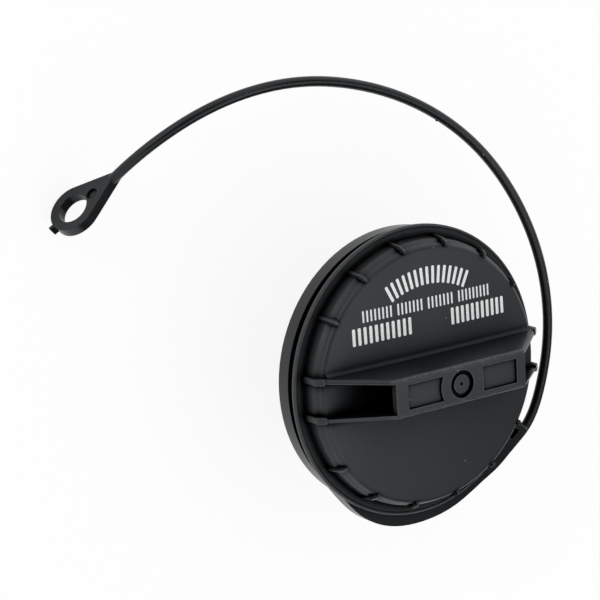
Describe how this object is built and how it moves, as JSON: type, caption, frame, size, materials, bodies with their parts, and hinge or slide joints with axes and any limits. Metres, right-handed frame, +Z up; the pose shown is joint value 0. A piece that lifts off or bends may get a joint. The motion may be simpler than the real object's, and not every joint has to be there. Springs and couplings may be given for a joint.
{
  "type": "fuel filler cap",
  "caption": "Threaded fuel filler cap with a hollow bar grip, ribbed rim, vent valve, ratchet hub and a swivelling moulded tether ending in an eyelet.",
  "frame": {"origin": "centre of the plug's end face, on the surface it stands on", "axes": "+Z up the cap's axis and out of its face, +X along the grip bar"},
  "size_m": [0.1501, 0.1341, 0.0619],
  "materials": {
    "black_nylon": "semi-matt moulded, fine grain",
    "black_tether_plastic": "satin moulded",
    "black_acetal": "satin moulded",
    "black_rubber": "matt",
    "grey_acetal": "satin moulded",
    "natural_acetal": "satin moulded",
    "spring_steel": "drawn wire",
    "bright_steel": "polished"
  },
  "bodies": {
    "closure": {"closure_body": "black_acetal", "neck_seal": "black_rubber", "hub_keeper": "grey_acetal", "spring_keeper": "grey_acetal", "pressure_spring": "spring_steel", "rollover_seat": "grey_acetal", "end_plate": "black_acetal"},
    "hub": {"drive_hub": "natural_acetal", "pawl_ring": "natural_acetal", "return_spring": "spring_steel"},
    "grip": {"grip_cover": "black_nylon"},
    "tether": {"tether": "black_tether_plastic"},
    "pressure_valve": {"pressure_plate": "natural_acetal", "valve_seal": "black_rubber", "vacuum_spring": "spring_steel"},
    "vacuum_valve": {"vacuum_poppet": "natural_acetal", "stem_clip": "spring_steel"},
    "ball": {"rollover_ball": "bright_steel"}
  },
  "joints": [
    {"name": "ratchet_slip", "type": "hinge", "parent": "closure", "child": "hub", "pos_m": [0, 0, 0.0338], "axis": [0, 0, 1], "range_deg": [-360, 0], "deforming": ["pawl_ring"]},
    {"name": "grip_turn", "type": "hinge", "parent": "hub", "child": "grip", "pos_m": [0, 0, 0.0338], "axis": [0, 0, 1], "range_deg": [0, 30], "stiffness_Nm_per_rad": 0.05, "deforming": ["return_spring"]},
    {"name": "tether_swivel", "type": "hinge", "parent": "grip", "child": "tether", "pos_m": [0, 0, 0.03365], "axis": [0, 0, 1], "continuous": true},
    {"name": "pressure_lift", "type": "slide", "parent": "closure", "child": "pressure_valve", "axis": [0, 0, 1], "range_m": [0, 0.004], "stiffness_N_per_m": 500, "springref_m": -0.006, "deforming": ["pressure_spring"]},
    {"name": "vacuum_drop", "type": "slide", "parent": "pressure_valve", "child": "vacuum_valve", "axis": [0, 0, -1], "range_m": [0, 0.0022], "stiffness_N_per_m": 60, "springref_m": -0.003, "deforming": ["vacuum_spring"]},
    {"name": "ball_rise", "type": "slide", "parent": "closure", "child": "ball", "axis": [0, 0, 1], "range_m": [0, 0.0018]}
  ]
}
